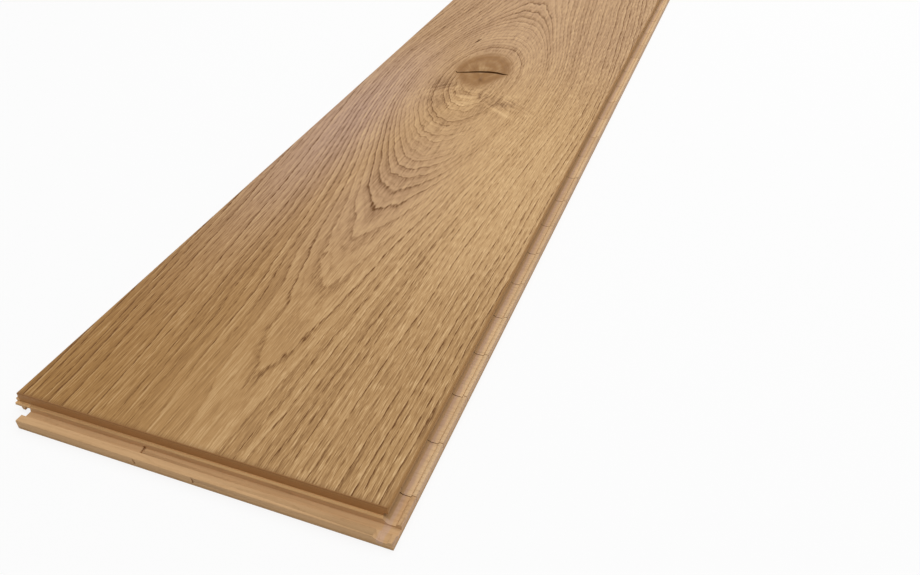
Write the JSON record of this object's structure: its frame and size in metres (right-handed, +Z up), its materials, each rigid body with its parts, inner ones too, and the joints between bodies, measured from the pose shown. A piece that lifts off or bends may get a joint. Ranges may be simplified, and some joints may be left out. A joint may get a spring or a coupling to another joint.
{
  "type": "wide plank floorboard",
  "caption": "Wide three-layer engineered oak floorboard with a knotty oak face, cross-slat softwood core, softwood backing and click-lock lips and hooks on its edges",
  "frame": {"origin": "centre of the board's box on the underside that rests on the floor", "axes": "+X across the board to the long edge with the lip, +Y along the board from the end with the lip to the end with the hook, +Z up out of the oak face"},
  "size_m": [0.251, 2.2132, 0.0135],
  "materials": {
    "oak_face": "satin",
    "softwood_core": "matte",
    "softwood_backing": "matte"
  },
  "bodies": {
    "root": {"oak_top_layer": "oak_face", "core_slats": "softwood_core", "backing_veneer": "softwood_backing"}
  },
  "joints": []
}
